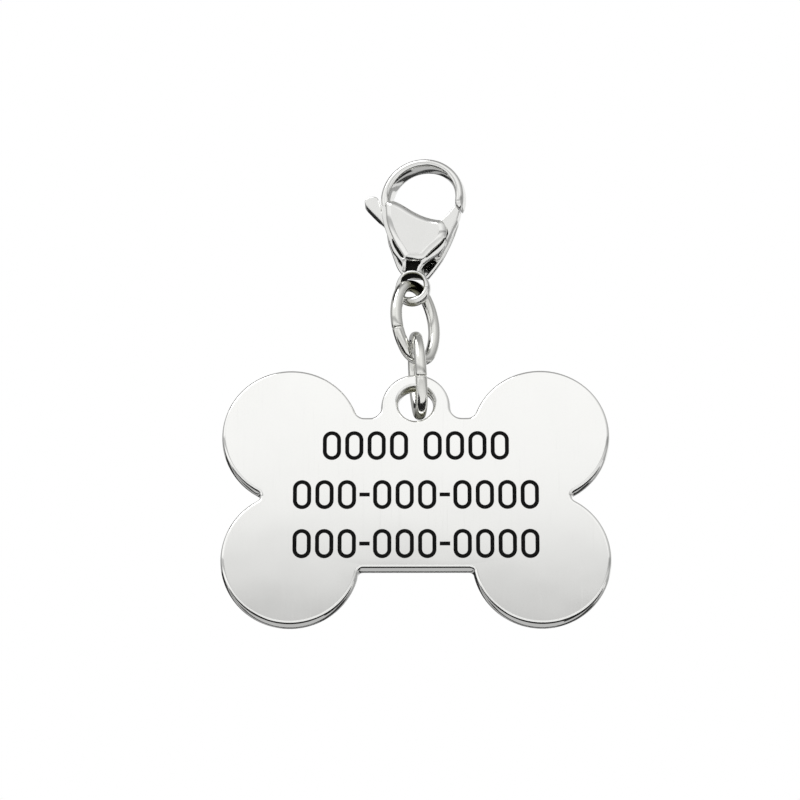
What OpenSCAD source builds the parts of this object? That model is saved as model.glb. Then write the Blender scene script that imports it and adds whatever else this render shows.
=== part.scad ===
// Pet id tag on a lobster clasp: a four-lobed steel tag hangs by two oval wire links from the clasp.
// All lengths are in millimetres and all angles in degrees.
// The origin is the middle of the collar ring's wire, where it bears inside the hook.
// +Z is up, the numbered face of the tag looks along -Y, and the tag is symmetric about X = 0.

/* [Tag plate] */
// full width of the tag across its lobes
tag_w = 40; // [25:0.1:60]
// full height of the tag across its lobes, without the ear
tag_h = 27.4; // [18:0.1:40]
// thickness of the tag's sheet
tag_t = 2; // [1:0.05:3]
// radius of the four round lobes
lobe_r = 7.1; // [4:0.05:9]
// height of the flat top edge above the tag's middle
waist_top = 8.6; // [5:0.05:12]
// distance of the flat bottom edge below the tag's middle
waist_bottom = 7.8; // [5:0.05:12]
// radius of the hollow between the top edge and a lobe
top_fillet = 1; // [0.3:0.05:2]
// radius of the hollow between the bottom edge and a lobe
bottom_fillet = 0.55; // [0.2:0.05:2]
// radius of the hollow between two lobes at the side
side_fillet = 0.55; // [0.2:0.05:1.5]

/* [Ear] */
// outer radius of the ear that holds the link
ear_r = 3.55; // [2.5:0.05:5]
// height of the ear's round top centre above the tag's middle
ear_up = 9.8; // [6:0.05:14]
// radius of the hole in the ear
ear_hole_r = 1.85; // [1.2:0.05:2.5]
// height of the ear's hole above the tag's middle
ear_hole_up = 10.12; // [6:0.02:14]
// radius of the hollow at the ear's foot
ear_fillet = 1.2; // [0.4:0.05:2]

/* [Numbers] */
// width of one digit
digit_w = 1.89; // [1:0.01:3]
// height of one digit
digit_h = 3.16; // [2:0.01:5]
// width of the line a digit is drawn with
stroke = 0.42; // [0.2:0.01:0.8]
// distance from one digit to the next
digit_step = 2.31; // [1.5:0.01:4]
// extra distance where a row leaves a space
space_step = 1.17; // [0.5:0.01:3]
// extra distance where a row has a hyphen
hyphen_step = 1.32; // [0.5:0.01:3]
// length of a hyphen
hyphen_w = 1.07; // [0.5:0.01:2]
// height of the upper row's middle above the tag's middle
row_up = 5.47; // [3:0.01:8]
// height of the centre row's middle above the tag's middle
row_mid = 0.12; // [-1:0.01:1]
// distance of the lower row's middle below the tag's middle
row_down = 5.19; // [3:0.01:8]
// depth of the engraving
engrave_depth = 0.12; // [0.05:0.01:0.4]
// thickness of the black filling in the engraving
infill_t = 0.1; // [0.04:0.01:0.4]

/* [Links] */
// diameter of the link wire
wire_d = 1.2; // [0.8:0.05:2]
// outer length of a link
link_l = 9.5; // [7:0.1:14]
// outer width of a link
link_w = 6.4; // [5:0.1:10]
// radius of a link's ends at the middle of the wire
link_end_r = 2; // [1.2:0.05:3]
// width of the closed joint in a link's wire
link_gap = 0.05; // [0.02:0.01:0.3]
// how much slimmer a link's side bows are than its ends
bow_relief = 0.02; // [0.005:0.005:0.1]
// height of the upper link's top wire above the middle of the clasp's eye
eye_play = 0.33; // [0:0.01:0.5]
// distance of the upper link's middle to the left of the tag's middle
upper_left = 0.05; // [-1:0.01:1]
// distance of the upper link's middle behind the tag's middle
upper_back = 0.2; // [-1:0.01:1]
// turn of the upper link's plane from the tag's plane
upper_turn = 41; // [0:1:90]
// lean of the upper link's top to the left
upper_lean = 4.8; // [0:0.1:12]
// height of the lower link's top wire above the upper link's bottom wire
link_play = 2.29; // [1.3:0.01:4]
// distance of the lower link's bottom wire below the middle of the ear's hole
ear_play = 0.71; // [0:0.01:1]
// distance of the lower link's middle to the left of the tag's middle
lower_left = -0.2; // [-1:0.01:1]
// turn of the lower link's plane from the tag's plane
lower_turn = 83; // [30:1:90]
// lean of the lower link's top to the left
lower_lean = 4; // [0:0.1:12]

/* [Clasp place] */
// distance of the hook's middle to the right of the origin
clasp_right = 0.98; // [0:0.01:2]
// distance of the hook's middle below the origin
clasp_down = 2.57; // [1:0.01:5]
// turn of the clasp's face to the left
clasp_turn = 12; // [0:0.5:30]
// lean of the clasp's top to the right
clasp_lean = 7.5; // [0:0.5:20]

/* [Clasp hook] */
// outer radius of the hook
hook_r = 4.45; // [3:0.05:7]
// distance of the hook's outer centre to the left of the clasp's middle
hook_left = 0.1; // [0:0.01:0.5]
// height of the hook's outer centre above the clasp's middle
hook_up = 0.28; // [0:0.01:1]
// radius of the opening in the hook
mouth_r = 3.58; // [2.5:0.02:6]
// height of the opening's centre above the clasp's middle
mouth_up = 0.45; // [0:0.01:1]
// depth of the hook from front to back
hook_depth = 2.4; // [1.5:0.05:4]

/* [Clasp shells] */
// depth of the clasp's body from front to back
shell_depth = 2.6; // [1.8:0.05:5]
// radius of the body's left flank
left_flank_r = 19; // [10:0.1:25]
// how far the left flank stands out to the left of the clasp's middle
left_flank_out = 4.89; // [3:0.01:8]
// height of the left flank's centre above the clasp's middle
left_flank_z = 3.4; // [0:0.01:5]
// radius of the body's right flank
right_flank_r = 13.6; // [10:0.1:25]
// how far the right flank stands out to the right of the clasp's middle
right_flank_out = 4.05; // [2:0.01:7]
// height of the right flank's centre above the clasp's middle
right_flank_z = 1.04; // [0:0.01:5]
// radius of the body's hollow upper edge
brow_r = 6.3; // [4:0.05:12]
// distance of the upper edge's centre to the right of the clasp's middle
brow_x = 1.9; // [0:0.05:5]
// distance of the upper edge's lowest point below the clasp's middle
brow_low = 2.17; // [1:0.05:4]
// distance of the shells' upper left corner below the clasp's middle
shell_top = 0.3; // [0:0.02:0.75]
// distance of the body's lower end below the clasp's middle
shell_bottom = 7.25; // [5:0.05:10]
// height of the raised shield over the front shell
shield_proud = 0.3; // [0.1:0.05:0.8]
// distance of the shield's edge inside the left flank
shield_inset = 0.45; // [0.1:0.05:1]
// distance of the shield's edge inside the right flank
shield_rim = 0.35; // [0.05:0.05:1]
// width of the slot between the two shells
slot_w = 1.3; // [0.8:0.01:2.5]
// distance of the slot's floor below the clasp's middle
slot_floor = 6.15; // [4:0.05:8]
// distance of the slot's upper end below the clasp's middle
slot_top = 0.8; // [0.3:0.05:2]
// width of the neck between the body and the eye
neck_w = 2; // [1:0.05:3]
// depth of the neck from front to back
neck_depth = 1.5; // [1:0.05:3]

/* [Clasp eye] */
// outer radius of the eye
eye_r = 1.88; // [1.4:0.02:3]
// radius of the hole in the eye
eye_hole_r = 1.18; // [0.9:0.02:2]
// distance of the eye's middle below the clasp's middle
eye_down = 9.56; // [7:0.02:14]
// depth of the eye from front to back
eye_depth = 1.1; // [0.8:0.05:2.5]
// width of the eye's bevels
eye_bevel = 0.27; // [0.05:0.01:0.4]

/* [Gate] */
// distance of the gate arm's outer face inside the body's right flank
gate_inset = 0.03; // [0:0.01:0.3]
// distance of the gate arm's lower edge below the clasp's middle
gate_low = 5.6; // [4:0.05:6]
// how much further out than the opening the gate's inner face lies
gate_set = 0.04; // [0:0.01:0.3]
// thickness of the gate lever
gate_t = 1.2; // [0.7:0.01:2.4]
// distance of the nose joint to the right of the clasp's middle
nose_x = 3.8; // [2:0.05:6]
// distance of the nose joint below the clasp's middle
nose_down = 0.5; // [0:0.05:2]
// angle between the nose joint and upright
nose_angle = 30; // [10:1:60]
// width of the closed nose joint
nose_gap = 0.05; // [0.02:0.01:0.3]
// length of the cut that makes the nose joint
nose_cut = 2.4; // [1.5:0.1:4]
// distance of the lever's pivot to the left of the clasp's middle
pivot_x = 1; // [0:0.05:3]
// distance of the lever's pivot below the clasp's middle
pivot_down = 4.3; // [2:0.05:6]
// radius of the lever's boss round the pivot
boss_r = 1.05; // [0.7:0.05:2]
// distance of the thumb tab's centre to the left of the clasp's middle
tab_x = 5.82; // [4:0.02:9]
// distance of the thumb tab's centre below the clasp's middle
tab_down = 0; // [0:0.01:2]
// radius of the thumb tab's round end
tab_r = 0.66; // [0.3:0.02:1]
// how far left the lever's upper edge leaves the body
tail_top_x = 4.36; // [3:0.05:7]
// how far down the lever's upper edge leaves the body
tail_top_down = 1.2; // [0.5:0.02:3]
// how far left the lever's upper edge lies inside the slot
tail_in_x = 3.85; // [2:0.05:6]
// how far down the lever's upper edge lies inside the slot
tail_in_down = 2.2; // [1:0.05:5]
// how far left the lever's lower edge leaves the body
tail_low_x = 3.95; // [3:0.02:7]
// how far down the lever's lower edge leaves the body
tail_low_down = 2.85; // [1:0.02:6]

/* [Pivot pin] */
// radius of the pivot pin
pin_r = 0.45; // [0.25:0.01:0.8]
// running gap between the pin and the lever
pin_clear = 0.04; // [0.01:0.01:0.1]
// metal left over the pin's end in the front shell and shield
pin_cover = 0.4; // [0.1:0.05:1]
// free depth beyond the pin's end in its blind bore
pin_relief = 0.05; // [0.02:0.01:0.2]

/* [Gate spring] */
// thickness of the leaf spring
leaf_t = 0.18; // [0.08:0.01:0.4]
// width of the leaf spring
leaf_w = 0.8; // [0.4:0.05:1.1]
// length of the leaf's foot on the slot's floor
leaf_foot = 1.7; // [0.8:0.05:2.5]
// distance of the leaf's bend to the left of the clasp's middle
leaf_x = 1.2; // [0.5:0.05:2.5]
// outer radius of the leaf's bend
leaf_bend_r = 0.6; // [0.3:0.05:1]
// angle the leaf is bent through
leaf_bend = 57; // [30:1:90]
// length of the leaf's free leg
leaf_leg = 1.75; // [1:0.05:3]

/* [Hidden] */
$fn = 96;
steel = [0.8, 0.81, 0.82];
black = [0.05, 0.05, 0.05];
spring_steel = [0.6, 0.58, 0.52];

// Tag: derived places
lobe_x = tag_w/2 - lobe_r;
lobe_z = tag_h/2 - lobe_r;

// Link: derived arcs of the four-arc oval at the middle of the wire
half_l = (link_l - wire_d)/2;
half_w = (link_w - wire_d)/2;
bow_r = (half_l*half_l + half_w*half_w - 2*half_l*link_end_r)/(2*(half_w - link_end_r));
end_angle = atan((bow_r - half_w)/(half_l - link_end_r));
bow_overlap = 2;

// Heights of the chain's pieces, from the clasp's eye down to the middle of the tag
eye_z = -clasp_down - eye_down*cos(clasp_lean);
upper_z = eye_z + eye_play - half_l*cos(upper_lean);
lower_z = upper_z - half_l*cos(upper_lean) + link_play - half_l*cos(lower_lean);
tag_z = lower_z - half_l*cos(lower_lean) + ear_play - ear_hole_up;

// A slab cut from a flat outline, between two depths
module slab(front, rear) {
    translate([0, rear, 0])
        rotate([90, 0, 0])
            linear_extrude(rear - front)
                children();
}

// Corner between two edges, hollowed by a circle round the given centre
module hollow(corner, other, centre, r) {
    sheet()
        difference() {
            polygon([centre, corner, other]);
            translate(centre)
                circle(r = r);
        }
}

// A flat outline given the tag's thickness
module sheet() {
    slab(-tag_t/2, tag_t/2)
        children();
}

// Tag blank: four lobes, a waist and the ear, with the hollows between them
module tag_blank() {
    over = link_gap/5;
    top_z = waist_top + top_fillet;
    top_x = lobe_x - sqrt(pow(lobe_r + top_fillet, 2) - pow(top_z - lobe_z, 2));
    low_z = waist_bottom + bottom_fillet;
    low_x = lobe_x - sqrt(pow(lobe_r + bottom_fillet, 2) - pow(low_z - lobe_z, 2));
    side_x = lobe_x + sqrt(pow(lobe_r + side_fillet, 2) - pow(lobe_z, 2));
    foot_z = waist_top + ear_fillet;
    foot_x = sqrt(pow(ear_r + ear_fillet, 2) - pow(foot_z - ear_up, 2));
    for (s = [-1, 1], t = [-1, 1])
        sheet()
            translate([s*lobe_x, t*lobe_z])
                circle(r = lobe_r);
    sheet()
        translate([-lobe_x, -waist_bottom])
            square([2*lobe_x, waist_bottom + waist_top]);
    sheet()
        translate([-(lobe_x + lobe_r/2), -lobe_z])
            square([2*lobe_x + lobe_r, 2*lobe_z]);
    sheet()
        translate([0, ear_up])
            circle(r = ear_r);
    for (s = [-1, 1]) {
        hollow([s*top_x, waist_top - top_fillet], [s*lobe_x, lobe_z], [s*top_x, top_z], top_fillet + over);
        hollow([s*low_x, -waist_bottom + bottom_fillet], [s*lobe_x, -lobe_z], [s*low_x, -low_z],
            bottom_fillet + over);
        hollow([s*lobe_x, lobe_z], [s*lobe_x, -lobe_z], [s*side_x, 0], side_fillet + over);
        hollow([s*foot_x, waist_top - ear_fillet], [0, ear_up], [s*foot_x, foot_z], ear_fillet + over);
    }
}

// Numbers: a plain upright zero and the places of the digits in a row
module zero() {
    rise = (digit_h - digit_w)/2;
    inner = digit_w/2 - stroke;
    difference() {
        stadium(digit_w/2, rise);
        stadium(inner, rise);
    }
}

module stadium(r, rise) {
    for (s = [-1, 1])
        translate([0, s*rise])
            circle(r = r);
    square([2*r - link_gap/5, 2*rise], center = true);
}

function breaks(i, groups) = len([for (g = groups) if (i >= g) g]);
function row_length(n, groups, gap) = (n - 1)*digit_step + len(groups)*gap;
function digit_x(i, n, groups, gap) =
    i*digit_step + breaks(i, groups)*gap - row_length(n, groups, gap)/2;

module digit_row(n, groups, gap, hyphens) {
    for (i = [0:n - 1])
        translate([digit_x(i, n, groups, gap), 0])
            zero();
    if (hyphens)
        for (g = groups)
            translate([(digit_x(g, n, groups, gap) + digit_x(g - 1, n, groups, gap))/2, 0])
                square([hyphen_w, stroke], center = true);
}

module numbers() {
    translate([0, row_up])
        digit_row(8, [4], space_step, false);
    translate([0, row_mid])
        digit_row(10, [3, 6], hyphen_step, true);
    translate([0, -row_down])
        digit_row(10, [3, 6], hyphen_step, true);
}

// Tag plate with its ear hole and engraving
module tag_plate() {
    color(steel)
        translate([0, 0, tag_z])
            difference() {
                tag_blank();
                slab(-tag_t, tag_t)
                    translate([0, ear_hole_up])
                        circle(r = ear_hole_r);
                slab(-tag_t, -tag_t/2 + engrave_depth)
                    numbers();
            }
}

// Black filling in the engraving
module number_infill() {
    floor_y = -tag_t/2 + engrave_depth;
    color(black)
        translate([0, 0, tag_z])
            slab(floor_y - infill_t, floor_y)
                numbers();
}

// Oval link of round wire with its closed joint on the right-hand strand
module link() {
    rotate([90, 0, 0])
        difference() {
            for (s = [0, 180])
                rotate(s) {
                    translate([0, half_l - link_end_r])
                        rotate(90 - end_angle)
                            rotate_extrude(angle = 2*end_angle)
                                translate([link_end_r, 0])
                                    circle(d = wire_d, $fn = 48);
                    translate([half_w - bow_r, 0])
                        rotate(end_angle - 90 - bow_overlap)
                            rotate_extrude(angle = 2*(90 - end_angle + bow_overlap))
                                translate([bow_r, 0])
                                    circle(d = wire_d - bow_relief, $fn = 48);
                }
            translate([half_w, 0])
                cube([2*wire_d, link_gap, 2*wire_d], center = true);
        }
}

module upper_link() {
    color(steel)
        translate([-upper_left, upper_back, upper_z])
            rotate([0, -upper_lean, 0])
                rotate([0, 0, upper_turn + 180])
                    link();
}

module lower_link() {
    color(steel)
        translate([-lower_left, 0, lower_z])
            rotate([0, -lower_lean, 0])
                rotate([0, 0, -lower_turn])
                    link();
}

// Clasp: everything below is drawn in the clasp's own frame and placed by this module
module in_clasp() {
    translate([clasp_right, 0, -clasp_down])
        rotate([0, 0, -clasp_turn])
            rotate([0, clasp_lean, 0])
                children();
}

// Points along and across the slanted joint between the nose and the gate
function nose(along, across) = [
    nose_x + along*sin(nose_angle) + across*cos(nose_angle),
    -nose_down - along*cos(nose_angle) + across*sin(nose_angle)
];

module hook_outline() {
    difference() {
        translate([-hook_left, hook_up])
            circle(r = hook_r);
        translate([0, mouth_up])
            circle(r = mouth_r);
        polygon([[0, 0], nose(-nose_cut, 0), nose(nose_cut, 0), [hook_r, -2*hook_r],
            [-2*hook_r, -2*hook_r], [-2*hook_r, -slot_top], [0, -slot_top]]);
    }
}

module shell_outline(left_in, right_in, foot_in) {
    difference() {
        intersection() {
            translate([left_flank_r - left_flank_out, left_flank_z])
                circle(r = left_flank_r - left_in);
            translate([right_flank_out - right_flank_r, right_flank_z])
                circle(r = right_flank_r - right_in);
            translate([-2*hook_r, foot_in - shell_bottom])
                square([4*hook_r, shell_bottom - shell_top - foot_in]);
        }
        translate([brow_x, brow_r - brow_low])
            circle(r = brow_r);
    }
}

module slot_outline() {
    polygon([nose(-nose_cut, 0), nose(nose_cut, 0), [2*hook_r, -slot_floor], [-2*hook_r, -slot_floor],
        [-2*hook_r, -slot_top], [0, -slot_top]]);
}

// Clasp body: hook, two shells with a slot between them, shield, neck and eye
module clasp_body() {
    bevel = eye_bevel;
    mid_y = eye_depth/2;
    front_y = -shell_depth/2 - shield_proud;
    color(steel)
        in_clasp()
            difference() {
                union() {
                    slab(-hook_depth/2, hook_depth/2)
                        hook_outline();
                    slab(-shell_depth/2, shell_depth/2)
                        shell_outline(0, 0, 0);
                    slab(front_y, 0)
                        shell_outline(shield_inset, shield_rim, shield_inset);
                    slab(-neck_depth/2, neck_depth/2)
                        translate([-neck_w/2, -(eye_down - eye_hole_r - bevel)])
                            square([neck_w, eye_down - eye_hole_r - bevel - slot_floor - bevel]);
                    translate([0, 0, -eye_down])
                        rotate([90, 0, 0])
                            rotate_extrude()
                                polygon([[eye_hole_r + bevel, -mid_y], [eye_r - bevel, -mid_y],
                                    [eye_r, bevel - mid_y], [eye_r, mid_y - bevel], [eye_r - bevel, mid_y],
                                    [eye_hole_r + bevel, mid_y], [eye_hole_r, mid_y - bevel],
                                    [eye_hole_r, bevel - mid_y]]);
                }
                slab(-slot_w/2, slot_w/2)
                    slot_outline();
                slab(front_y + pin_cover - pin_relief, shell_depth)
                    translate([-pivot_x, -pivot_down])
                        circle(r = pin_r);
            }
}

// Gate lever: an arm round to the nose, a boss on the pivot and a thumb tab
module gate_outline() {
    boss = 0.95*boss_r;
    difference() {
        union() {
            intersection() {
                difference() {
                    translate([right_flank_out - right_flank_r, right_flank_z])
                        circle(r = right_flank_r - gate_inset);
                    translate([0, mouth_up])
                        circle(r = mouth_r + gate_set);
                }
                polygon([[0, 0], nose(-nose_cut, -nose_gap), nose(nose_cut, -nose_gap), [2*hook_r, -gate_low],
                    [pivot_x, -gate_low], [-pivot_x, -pivot_down - boss_r/2], [-pivot_x, -pivot_down + boss_r/2]]);
            }
            translate([-pivot_x, -pivot_down])
                circle(r = boss_r);
            translate([-tab_x, -tab_down])
                circle(r = tab_r);
            polygon([
                [-pivot_x + boss*cos(60), -pivot_down + boss*sin(60)],
                [-tail_in_x, -tail_in_down],
                [-tail_top_x, -tail_top_down],
                [-tab_x + tab_r*cos(27), -tab_down + tab_r*sin(27)],
                [-tab_x, -tab_down],
                [-tab_x - tab_r*cos(45), -tab_down - tab_r*sin(45)],
                [-tail_low_x, -tail_low_down],
                [-pivot_x - boss*cos(53), -pivot_down - boss*sin(53)]
            ]);
        }
        translate([-pivot_x, -pivot_down])
            circle(r = pin_r + pin_clear);
    }
}

module gate_lever() {
    color(steel)
        in_clasp()
            slab(-gate_t/2, gate_t/2)
                gate_outline();
}

// Pivot pin, flush at the back and blind at the front
module pivot_pin() {
    color(steel)
        in_clasp()
            slab(-shell_depth/2 - shield_proud + pin_cover, shell_depth/2)
                translate([-pivot_x, -pivot_down])
                    circle(r = pin_r);
}

// Leaf spring: a foot on the slot's floor and a leg that lifts the lever's tail
module gate_spring() {
    color(spring_steel)
        in_clasp()
            slab(-leaf_w/2, leaf_w/2) {
                translate([-leaf_x - leaf_t/2, -slot_floor])
                    square([leaf_foot + leaf_t/2, leaf_t]);
                translate([-leaf_x, leaf_bend_r - slot_floor]) {
                    intersection() {
                        difference() {
                            circle(r = leaf_bend_r);
                            circle(r = leaf_bend_r - leaf_t);
                        }
                        polygon([[0, 0], [0, -2*leaf_bend_r], [-2*leaf_bend_r, -2*leaf_bend_r],
                            2*leaf_bend_r*[-sin(leaf_bend + bow_overlap), -cos(leaf_bend + bow_overlap)]]);
                    }
                    rotate(-leaf_bend)
                        translate([-leaf_leg, -leaf_bend_r])
                            square([leaf_leg, leaf_t]);
                }
            }
}

tag_plate();
number_infill();
lower_link();
upper_link();
clasp_body();
gate_lever();
pivot_pin();
gate_spring();
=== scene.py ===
import math

import bpy
import bmesh
from bpy.props import FloatProperty, FloatVectorProperty, PointerProperty
from mathutils import Matrix, Vector


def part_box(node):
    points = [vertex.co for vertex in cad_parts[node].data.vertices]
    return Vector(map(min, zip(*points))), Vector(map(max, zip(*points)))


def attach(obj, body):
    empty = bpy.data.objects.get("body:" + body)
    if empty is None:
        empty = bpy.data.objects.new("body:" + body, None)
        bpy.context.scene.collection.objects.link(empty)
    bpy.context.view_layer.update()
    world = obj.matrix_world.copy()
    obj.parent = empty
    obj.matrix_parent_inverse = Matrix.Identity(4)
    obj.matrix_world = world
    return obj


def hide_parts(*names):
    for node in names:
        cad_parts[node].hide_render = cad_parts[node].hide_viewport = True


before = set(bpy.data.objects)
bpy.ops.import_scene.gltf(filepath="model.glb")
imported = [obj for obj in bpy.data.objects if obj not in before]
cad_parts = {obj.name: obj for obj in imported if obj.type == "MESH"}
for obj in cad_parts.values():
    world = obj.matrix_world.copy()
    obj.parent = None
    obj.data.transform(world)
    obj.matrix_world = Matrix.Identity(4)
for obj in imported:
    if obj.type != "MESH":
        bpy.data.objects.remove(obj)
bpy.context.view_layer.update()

bl_info = {
    "name": "Pet ID Tag",
    "version": (1, 0, 0),
    "blender": (4, 5, 0),
    "location": "View3D > Sidebar > Pet Tag",
    "description": "Dresses a polished pet id tag, its links and its lobster clasp",
    "category": "Object",
}

MM = 0.001
IMAGE_SIZE = 800
SENSOR_WIDTH = 36.0


# Sizes and colours that a user may change


def length(name, description, default):
    """A length property in metres, with its default given in millimetres."""
    return FloatProperty(name=name, description=description, default=default * MM, unit="LENGTH",
                         subtype="DISTANCE", precision=5)


def colour(name, description, default):
    """A colour property without alpha."""
    return FloatVectorProperty(name=name, description=description, default=default, subtype="COLOR",
                               size=3, min=0.0, max=1.0)


def share(name, description, default):
    """A share between nothing and all."""
    return FloatProperty(name=name, description=description, default=default, min=0.0, max=1.0,
                         subtype="FACTOR")


def in_mm(value):
    """A length in millimetres, from one in metres."""
    return value / MM


def eased(value):
    """A share between nothing and all, with a soft start and a soft end."""
    value = min(1.0, max(0.0, value))
    return value * value * (3 - 2 * value)


class PetTagPlate(bpy.types.PropertyGroup):
    """Sizes of the tag plate."""
    lobe_radius: length("Lobe radius", "Radius of the four round lobes", 7.1)
    lobe_out: length("Lobe offset", "Distance of a lobe's centre from the middle, sideways", 12.9)
    lobe_up: length("Lobe height", "Distance of a lobe's centre from the middle, upwards", 6.7)
    waist_top: length("Top edge", "Height of the straight top edge over the middle", 8.6)
    waist_bottom: length("Bottom edge", "Distance of the straight bottom edge under the middle", 7.8)
    ear_radius: length("Ear radius", "Outer radius of the ear", 3.55)
    ear_up: length("Ear height", "Height of the ear's round centre", 9.8)
    hole_radius: length("Hole radius", "Radius of the hole in the ear", 1.85)
    hole_up: length("Hole height", "Height of the ear's hole", 10.12)
    thickness: length("Thickness", "Thickness of the plate", 2.0)
    edge_round: length("Edge rounding", "Radius of the polished edges", 0.36)
    engraving: length("Engraving depth", "Depth of the engraved numbers", 0.12)


class PetTagLinks(bpy.types.PropertyGroup):
    """Sizes of the two oval links."""
    wire: length("Wire", "Diameter of the link wire", 1.2)
    long_side: length("Length", "Outer length of a link", 9.5)
    short_side: length("Width", "Outer width of a link", 6.4)
    end_radius: length("End radius", "Radius of a link's ends at the middle of the wire", 2.0)
    joint_gap: length("Joint gap", "Width of the closed joint in the wire", 0.06)
    joint_low: length("Joint height", "Distance of the wire's joint below the link's middle", 1.0)
    squareness: FloatProperty(name="Squareness", description="How flat the wire's faces are; 2 is round",
                              default=2.15, min=2.0, max=6.0)


class PetTagClasp(bpy.types.PropertyGroup):
    """Sizes of the lobster clasp."""
    hook_radius: length("Hook radius", "Outer radius of the hook", 4.5)
    mouth_radius: length("Mouth radius", "Radius of the opening in the hook", 3.46)
    hook_depth: length("Hook depth", "Depth of the hook from front to back", 2.6)
    shield_round: length("Shield rounding", "Width of the shield's soft edge", 1.15)
    eye_radius: length("Eye radius", "Outer radius of the eye", 1.88)
    eye_hole: length("Eye hole", "Radius of the hole in the eye", 1.18)
    gate_thickness: length("Gate thickness", "Thickness of the gate lever", 1.2)


class PetTagFinish(bpy.types.PropertyGroup):
    """Colours and polish of the metal and the numbers."""
    plate_colour: colour("Plate", "Colour of the tag's polished steel", (0.985, 0.985, 0.965))
    clasp_colour: colour("Clasp", "Colour of the clasp's bright metal", (0.9, 0.9, 0.88))
    link_colour: colour("Links", "Colour of the link wire", (0.84, 0.84, 0.805))
    number_colour: colour("Numbers", "Colour of the filled numbers", (0.0022, 0.0022, 0.0022))
    plate_polish: share("Plate roughness", "Base roughness of the tag's faces", 0.06)
    clasp_polish: share("Clasp roughness", "Base roughness of the clasp", 0.07)
    link_polish: share("Link roughness", "Base roughness of the link wire", 0.08)


class PetTagStage(bpy.types.PropertyGroup):
    """Camera, floor and light."""
    distance: length("Camera distance", "Distance from the camera to the tag's face", 440.0)
    lens: FloatProperty(name="Lens", description="Focal length of the camera in millimetres", default=192.46,
                        min=10.0, max=500.0)
    camera_drop: FloatProperty(name="Camera angle", description="How far below level the camera stands",
                               default=math.radians(19.0), subtype="ANGLE", unit="ROTATION")
    floor_drop: length("Floor", "Distance of the floor below the origin", 260.0)
    floor_colour: colour("Floor", "Colour of the floor", (0.93, 0.93, 0.93))
    world_level: share("World", "Level of the light from all round", 0.8)


# Flat outlines, in millimetres, as lists of (x, z) points


def arc(centre, radius, start, end, step=3.0):
    """Points along an arc, both ends included, with angles in degrees."""
    count = max(2, int(math.ceil(abs(end - start) / step)))
    points = []
    for i in range(count + 1):
        angle = math.radians(start + (end - start) * i / count)
        points.append((centre[0] + radius * math.cos(angle), centre[1] + radius * math.sin(angle)))
    return points


def bearing(origin, target):
    """Angle in degrees from one point to another."""
    return math.degrees(math.atan2(target[1] - origin[1], target[0] - origin[0]))


def mirrored(half):
    """A right half that starts and ends on the middle line, closed by its mirror image."""
    return half + [(-x, z) for x, z in reversed(half[1:-1])]


def smooth_closed(points, per_span):
    """A closed smooth curve through the given points."""
    result = []
    n = len(points)
    for i in range(n):
        p0, p1, p2, p3 = (Vector(points[(i + k - 1) % n]) for k in range(4))
        for j in range(per_span):
            t = j / per_span
            v = 0.5 * ((2 * p1) + (p2 - p0) * t + (2 * p0 - 5 * p1 + 4 * p2 - p3) * t * t
                       + (3 * p1 - p0 - 3 * p2 + p3) * t ** 3)
            result.append((v.x, v.y))
    return result


def softened(points, spacing=0.12, passes=3):
    """A closed outline in short steps, with its corners eased."""
    steps = []
    for (ax, az), (bx, bz) in zip(points, points[1:] + points[:1]):
        count = max(1, int(math.hypot(bx - ax, bz - az) / spacing))
        steps += [(ax + (bx - ax) * i / count, az + (bz - az) * i / count) for i in range(count)]
    for _ in range(passes):
        steps = [((a[0] + 2 * b[0] + c[0]) / 4, (a[1] + 2 * b[1] + c[1]) / 4)
                 for a, b, c in zip(steps[-1:] + steps[:-1], steps, steps[1:] + steps[:1])]
    return steps


def drawn_in(points, distance):
    """A closed outline moved inwards by a distance, along its own normals."""
    area = sum(a[0] * b[1] - b[0] * a[1] for a, b in zip(points, points[1:] + points[:1]))
    sign = 1.0 if area > 0 else -1.0
    result = []
    n = len(points)
    for i, (x, z) in enumerate(points):
        ax, az = points[i - 1]
        bx, bz = points[(i + 1) % n]
        tx, tz = bx - ax, bz - az
        size = math.hypot(tx, tz) or 1.0
        result.append((x - sign * tz / size * distance, z + sign * tx / size * distance))
    return result


def gap_to_line(point, a, b):
    """Distance from a point to the stretch between two others."""
    dx, dz = b[0] - a[0], b[1] - a[1]
    t = ((point[0] - a[0]) * dx + (point[1] - a[1]) * dz) / (dx * dx + dz * dz or 1.0)
    t = min(1.0, max(0.0, t))
    return math.hypot(point[0] - a[0] - dx * t, point[1] - a[1] - dz * t)


def inset_loop(points, distance):
    """A closed outline moved inwards, with the stretches that would cross each other closed up."""
    moved = drawn_in(points, distance)
    sides = list(zip(points, points[1:] + points[:1]))
    kept = [min(gap_to_line(p, a, b) for a, b in sides) >= 0.985 * distance for p in moved]
    n = len(points)
    result = list(moved)
    i = kept.index(True)
    last = i + n
    while i < last:
        if kept[i % n]:
            i += 1
            continue
        j = i
        while not kept[j % n]:
            j += 1
        (ax, az), (bx, bz) = moved[(i - 1) % n], moved[j % n]
        for k in range(i, j):
            t = (k - i + 1) / (j - i + 1)
            result[k % n] = (ax + (bx - ax) * t, az + (bz - az) * t)
        i = j
    return result


def superellipse(half_a, half_b, power, count):
    """Points of a rounded rectangle, from an ellipse at power 2 towards a square."""
    points = []
    for i in range(count):
        angle = 2 * math.pi * i / count
        c, s = math.cos(angle), math.sin(angle)
        points.append((half_a * math.copysign(abs(c) ** (2 / power), c),
                       half_b * math.copysign(abs(s) ** (2 / power), s)))
    return points


# Meshes: everything is drawn in millimetres and scaled to metres once


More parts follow.
